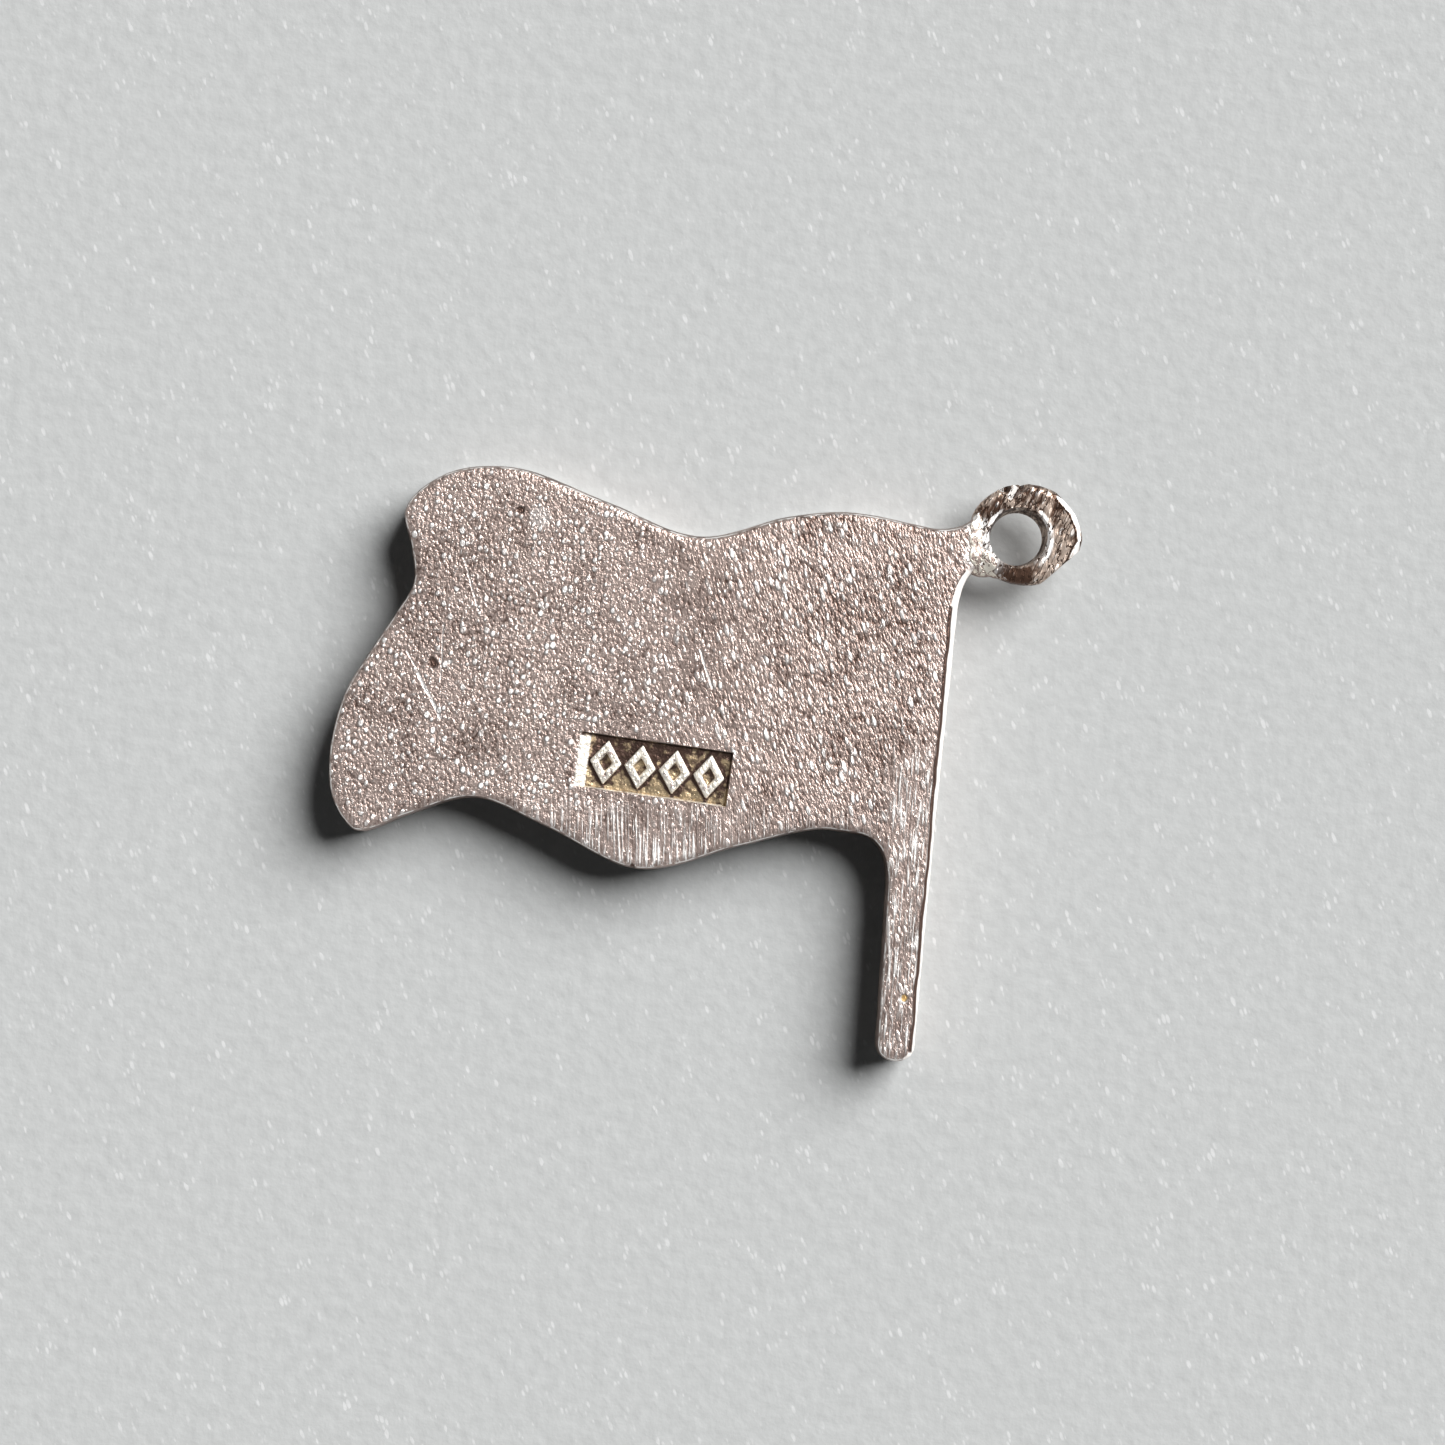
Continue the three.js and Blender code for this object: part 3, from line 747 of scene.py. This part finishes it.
# %% [markdown]
# ## Filed edge of the pole
#
# One long stroke of a file has left a bright flat along the right edge of the pole. The file is a block
# that lies with one edge along the pole's, tipped over to the right.

# %% Filed edge of the pole
EDGE_TIP = math.radians(30)
FILE_WIDTH = 1
FILE_HEIGHT = 0.5

edge_run = Vector(EDGE_HIGH) - Vector(EDGE_LOW)
edge_middle = (Vector(EDGE_LOW) + Vector(EDGE_HIGH)) / 2
file_block = add(bpy.ops.mesh.primitive_cube_add, size=1, location=(0.5, 0, 0.5))
bpy.ops.object.transform_apply(location=True)
file_block.scale = (FILE_WIDTH, edge_run.length, FILE_HEIGHT)
bpy.ops.object.transform_apply(scale=True)
edge_turn = math.atan2(edge_run.y, edge_run.x) - math.pi / 2
settle(file_block, (*edge_middle, BACK), (0, EDGE_TIP, edge_turn))
work(casting, "DIFFERENCE", file_block)
hand_in(casting, cast_silver, "silver", "charm_body")

# %% [markdown]
# ## Ear
#
# The ear is a thin tab that was pierced, filed round by hand and soldered to the neck, and never
# polished on the back: it is brown with tarnish, with bright flats where the file went over its rim.
# Each flat is one bisect with a tipped plane, and the finish reads the same planes, so it is bright on
# the flats alone.

# %% Flats on the ear
EAR_HALF_LENGTH = 1.29
EAR_HALF_WIDTH = 1.15
EYE_SHIFT = 0.19
EYE_DROP = 0.1
EYE_RADIUS = 0.66
FLATS = [(46, 0.17), (26, 0.17), (9, 0.15), (-22, 0.17)]
FLAT_TIP = math.radians(36)

ear_low, ear_high = (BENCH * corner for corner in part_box("pierced_ear"))
ear_middle = Vector((ear_high.x - EAR_HALF_LENGTH, ear_high.y - EAR_HALF_WIDTH, ear_high.z))
eye_middle = ear_middle - Vector((EYE_SHIFT, EYE_DROP, 0))


def flat_plane(azimuth, inset):
    """A point on a flat of the ear's rim, and the way that the flat faces."""
    out = Vector((math.cos(math.radians(azimuth)), math.sin(math.radians(azimuth)), 0))
    reach = math.hypot(EAR_HALF_LENGTH * out.x, EAR_HALF_WIDTH * out.y)
    point = ear_middle + (reach - inset) * out
    return point, math.sin(FLAT_TIP) * out + Vector((0, 0, math.cos(FLAT_TIP)))


print("eye at", [round(part, 2) for part in eye_middle], "mm")

# %% [markdown]
# ## Tarnished silver
#
# The brown is streaked, because a file was drawn across the tab before it darkened. It is worn off
# round the eye, where a ring has rubbed, and solder has run over it at the neck. The two nicks at the
# top each get a painted highlight on one wall and painted shade on the other. The steep walls of the tab
# and its eye get painted shade, and so does a patch beside the lower right of the eye. The front was
# polished with the rest of the charm.

# %% Places on the ear
tarnished, shader, place, normal = new_finish("tarnished_silver")
shader.inputs["Metallic"].default_value = 1
_, _, facing = normal.axes()
front = facing.below(-0.6, 0.3)
eye_x, eye_y, _ = place.laid(origin=eye_middle).axes()
from_eye = eye_x.reach(eye_y)


def above_flat(point, out):
    """How far a place lies above the plane of a flat."""
    height = place.node("ShaderNodeVectorMath", {0: place, 1: out}, output=1, operation="DOT_PRODUCT")
    return height - point.dot(out)


heights = [above_flat(*flat_plane(*flat)) for flat in FLATS]
flats = largest(height.step(-0.012, -0.004) for height in heights)
beside = largest(height.step(-0.04, -0.03) * (1 - height.step(-0.02, -0.012)) for height in heights)
count_nodes(tarnished)

# %% Streaks, wear and nicks
STREAK_TURN = -0.35
SOLDER_RUN = [(5.92, 5.35), (6.57, 4.5), 0.3]
EYE_SHADE_RUN = [(6.62, 4.62), (7.45, 5.0), 0.3]
NICK_PAINTED_LIGHTS = [[(6.35, 6.38), (6.46, 6.6), 0.08, 0.6], [(6.54, 6.22), (6.76, 6.66), 0.09, 0.6]]
NICK_PAINTED_SHADES = [[(6.46, 6.38), (6.58, 6.64), 0.08, 0.6], [(6.65, 6.24), (6.88, 6.66), 0.05, 0.6]]

streaks = place.laid((0.7, 2.6, 1), turn=STREAK_TURN).noise(0.12, detail=4)
flecks = place.laid((0.8, 1.8, 1), turn=STREAK_TURN).beads(0.15) * facing.step(0.5, 0.8)
cracks = abs(place.laid((0.6, 2, 1), turn=STREAK_TURN).noise(0.22, detail=3) - 0.5).below(0.008, 0.022)
ring_wear = from_eye.below(EYE_RADIUS + 0.14, 0.05) * (eye_x + 0.1 * eye_y).step(0.42, 0.62)
ring_wear = ring_wear.or_more(from_eye.below(EYE_RADIUS + 0.06, 0.04) * (-1 * eye_x).step(0.3, 0.5))
ring_wear = ring_wear * facing.step(0.4, 0.7) * (1 - 0.6 * streaks.step(0.5, 0.6))
# Painted highlight on the wall of each nick that faces the lamp, and painted shade on the wall that faces
# away.
nick_painted_light = largest(stroke(place, *line) for line in NICK_PAINTED_LIGHTS).step(0.6, 0.75)
nick_painted_shade = largest(stroke(place, *line) for line in NICK_PAINTED_SHADES).step(0.5, 0.65)
# Painted shade in a patch beside the lower right rim of the eye, which darkens the brown and holds back the
# wear.
painted_eye_shade = stroke(place, *EYE_SHADE_RUN) * from_eye.step(EYE_RADIUS, EYE_RADIUS + 0.05)
at_seam = eye_x.below(-0.75, 0.15) * eye_y.below(0.3, 0.15)
soldered = stroke(place, *SOLDER_RUN).or_more(at_seam) * facing.step(0.3, 0.6)
soldered = soldered * (1 - 0.8 * streaks.step(0.52, 0.6))
count_nodes(tarnished)

# %% Colour and relief of the ear
UMBER = (0.105, 0.06, 0.042)
BRASSY = (0.6, 0.47, 0.385)

wear_and_painted_light = largest([ring_wear, 0.6 * flecks, 0.7 * streaks.step(0.6, 0.7)]) * (1 - 0.8 * painted_eye_shade)
wear_and_painted_light = wear_and_painted_light.or_more(soldered) * (1 - beside)
wear_and_painted_light = largest([wear_and_painted_light, flats * (1 - 0.7 * streaks.step(0.56, 0.66)), nick_painted_light])
brown = place.noise(0.45, detail=3) + 0.9 * (streaks - 0.5) + 0.1 * eye_x - 0.3 * painted_eye_shade
colour = wear_and_painted_light.mix(brown.step(0.38, 0.66).mix(UMBER, BRASSY), BRIGHT)
# Painted shade: the steep walls of the ear and of its eye are darkened to deep umber, except the lit nick
# walls; the lines beside the flats and the cracks are dark as well.
walls = (1 - facing.step(-0.1, 0.3)) * (1 - nick_painted_light)
dark_lines_and_painted_shade = largest([walls, beside.or_more(cracks) * (1 - flats), nick_painted_shade])
colour = dark_lines_and_painted_shade.mix(colour, toned(UMBER, 0.6))
wire_up(shader, Base_Color=front.mix(colour, streaks.step(0.35, 0.65).mix(BRASSY, BRIGHT)))
wire_up(shader, Roughness=0.36 + 0.22 * wear_and_painted_light)
relief = (1 - flats) * (1 - nick_painted_light) * (streaks + 0.5 * flecks - 0.6 * cracks)
wire_up(shader, Normal=normal.bump(relief, SKIN_BUMP))
count_nodes(tarnished)

# %% [markdown]
# ## Shape of the ear
#
# The tab gets an even skin like the casting. The eye narrows towards the front, so a plug fills it in
# before the remesh, and it is cut again with a taper. A shallow countersink widens its rim on the side
# where a ring would wear it. The two nicks are cut with the corner of a square file that dips towards
# the rim.

# %% Ear
EAR_VOXEL = 0.03
EAR_PASSES = 3
EAR_SWELL = 0.011
EAR_LUMPS = (0.3, 0.03)
PLUG_RADIUS = EYE_RADIUS + 0.05

ear_depth = ear_high.z - ear_low.z
eye_place = (*eye_middle.xy, ear_high.z - ear_depth / 2)

ear = bench_copy("pierced_ear", "ear")
plug = add(bpy.ops.mesh.primitive_cylinder_add, vertices=48, radius=PLUG_RADIUS, depth=ear_depth)
settle(plug, eye_place)
join(ear, plug)
melt(ear, EAR_VOXEL, EAR_PASSES)
swell(ear, EAR_SWELL)
roughen(ear, *EAR_LUMPS)
print("ear", round(ear_depth, 3), "mm thick")

# %% Eye of the ear
EYE_SIDES = 64
EYE_FRONT_RADIUS = 0.57
EYE_BACK_RADIUS = EYE_RADIUS + 0.02
EYE_LENGTH = 0.6
EYE_TIP = math.radians(6)
SINK_FOOT_RADIUS = EYE_RADIUS - 0.12
SINK_TOP_RADIUS = EYE_RADIUS + 0.18
SINK_LENGTH = 0.3
SINK_SHIFT = Vector((0.06, 0.02, 0))


def cone(foot, top, length):
    """A tool for a round hole that widens towards the back."""
    return add(bpy.ops.mesh.primitive_cone_add, vertices=EYE_SIDES, radius1=foot, radius2=top, depth=length)


def tapered_eye():
    """A tool in the shape of the eye, which narrows towards the front."""
    reamer = cone(EYE_FRONT_RADIUS, EYE_BACK_RADIUS, EYE_LENGTH)
    settle(reamer, eye_place, (-EYE_TIP, EYE_TIP, 0))
    return reamer


work(ear, "DIFFERENCE", tapered_eye())
countersink = cone(SINK_FOOT_RADIUS, SINK_TOP_RADIUS, SINK_LENGTH)
settle(countersink, eye_middle + SINK_SHIFT)
work(ear, "DIFFERENCE", countersink)
print("eye", 2 * EYE_RADIUS, "mm wide")

# %% Flats and nicks of the ear
NICKS = [((6.36, 6.27), 0), ((6.6, 6.2), -10)]
NICK_AZIMUTH = math.radians(62)
NICK_DIP = math.radians(42)
NICK_LENGTH = 0.9
NICK_SIZE = 0.5

for flat in FLATS:
    point, out = flat_plane(*flat)
    edit_all(ear)
    bpy.ops.mesh.bisect(plane_co=point, plane_no=out, use_fill=True, clear_outer=True)
for corner, roll in NICKS:
    square_file = add(bpy.ops.mesh.primitive_cylinder_add, vertices=4, radius=NICK_SIZE, depth=NICK_LENGTH)
    settle(square_file, (0, -NICK_SIZE, NICK_LENGTH / 2))
    settle(square_file, (0, 0, 0), (0, 0, math.radians(roll)))
    settle(square_file, (*corner, ear_high.z), (-math.pi / 2 - NICK_DIP, 0, NICK_AZIMUTH - math.pi / 2))
    work(ear, "DIFFERENCE", square_file)
hand_in(ear, tarnished, "silver", "pierced_ear", crisp=25)

# %% [markdown]
# ## Solder
#
# The ear is held by solder that ran over the seam, into both corners and down beside the eye. It is
# bright and lumpy, with tarnish in its hollows, and brown like the ear in the upper corner.

# %% Solder finish
BROWN_CORNER = (8.2, 8.35)

solder_silver, shader, place, normal = new_finish("solder_silver")
shader.inputs["Metallic"].default_value = 1
x, y, _ = place.axes()
_, _, facing = normal.axes()
lumpy = place.laid((0.8, 1.8, 1), turn=0.3).noise(0.1, detail=3)
cracks = abs(place.noise(0.3, detail=3) - 0.5).below(0.008, 0.02)
hollows = largest([lumpy.step(0.5, 0.6), cracks, 1 - facing.step(0.3, 0.7)])
browned = (y + 0.4 * x + 0.3 * lumpy).step(*BROWN_CORNER)
colour = hollows.mix(toned(CREAM, 0.88), toned(SKIN, 0.6))
wire_up(shader, Base_Color=browned.mix(colour, lumpy.step(0.4, 0.65).mix(UMBER, BRASSY)))
wire_up(shader, Roughness=0.35 + 0.2 * lumpy)
wire_up(shader, Normal=normal.bump(-0.7 * lumpy - 0.5 * cracks, SKIN_BUMP))
count_nodes(solder_silver)

# %% [markdown]
# ## Runs of solder
#
# A thin sheet of solder fills the seam, and each run is a flattened ball on it: those on the slope from
# the neck to the ear are tipped like it, and the others are turned along the edge that they follow. A
# remesh melts them all into one skin, and the tapered eye is cut through it.

# %% Solder
SLOPE_TIP = 21
RUNS = [
    ((5.9, 5.55, 1.195), (0.22, 0.2, 0.05), SLOPE_TIP, 0),
    ((5.94, 5.25, 1.19), (0.26, 0.3, 0.05), SLOPE_TIP, 0),
    ((5.97, 4.92, 1.18), (0.26, 0.26, 0.06), SLOPE_TIP, 0),
    ((6.19, 4.86, 1.15), (0.34, 0.18, 0.09), 0, -45),
    ((6.05, 4.7, 0.95), (0.42, 0.27, 0.25), 0, -5),
    ((6.34, 4.59, 0.95), (0.26, 0.15, 0.2), 0, -20),
    ((6, 5.95, 0.96), (0.4, 0.17, 0.22), 0, 55),
]
SHEET = (0.06, 1.2, 0.85 * ear_depth)
SHEET_MIDDLE = (ear_low.x - 0.015, 5.25, ear_high.z - ear_depth / 2)
SOLDER_VOXEL = 0.026
SOLDER_PASSES = 5
SOLDER_LUMPS = (0.25, 0.02)

solder = add(bpy.ops.mesh.primitive_cube_add, size=1, scale=SHEET)
solder.name = "solder"
settle(solder, SHEET_MIDDLE)
for middle, half, tip, turn in RUNS:
    run = add(bpy.ops.mesh.primitive_ico_sphere_add, subdivisions=4, radius=1, scale=half)
    settle(run, middle, (0, math.radians(tip), math.radians(turn)))
    join(solder, run)
melt(solder, SOLDER_VOXEL, SOLDER_PASSES)
roughen(solder, *SOLDER_LUMPS)
work(solder, "DIFFERENCE", tapered_eye())
hand_in(solder, solder_silver, "silver")

# %% [markdown]
# ## Enamel
#
# Enamel is glass that was melted into the cells, so it reaches their walls and has soft edges. The
# frame leaves a hair of room round each field, so a copy is remeshed, smoothed and swollen until it
# fills the cell. Its finish is glossy, a little cloudy, and has a few pinholes from the firing.

# %% Enamel finish
ENAMEL_COLOURS = {"white_enamel": (0.85, 0.84, 0.78), "blue_enamel": (0.012, 0.05, 0.24)}
PINHOLE = (0.05, 0.04, 0.035)
ENAMEL_BUMP = 0.03 * MM

enamel_finishes = {}
for name, colour in ENAMEL_COLOURS.items():
    enamel, shader, place, normal = new_finish(name)
    cloudy = place.noise(0.7, detail=3)
    pinholes = place.beads(0.22) * place.noise(0.5).step(0.6, 0.66)
    tone = cloudy.step(0.3, 0.7).mix(toned(colour, 0.82), colour)
    wire_up(shader, Base_Color=pinholes.mix(tone, PINHOLE))
    wire_up(shader, Roughness=0.07 + 0.1 * cloudy + 0.4 * pinholes)
    wire_up(shader, Normal=normal.bump(cloudy - pinholes, ENAMEL_BUMP))
    enamel_finishes[name] = enamel
    count_nodes(enamel)

# %% Enamel
FIELD_VOXEL = 0.05
FIELD_PASSES = 5
FIELD_SWELL = 0.03
FIELD_WAVES = (1.1, 0.015)

for row in frame["record"]["subparts"]:
    slot = row["material_slot"]
    if slot in enamel_finishes:
        field = bench_copy(row["node"], "fired_" + row["node"])
        melt(field, FIELD_VOXEL, FIELD_PASSES)
        swell(field, FIELD_SWELL)
        roughen(field, *FIELD_WAVES)
        hand_in(field, enamel_finishes[slot], slot, row["node"])
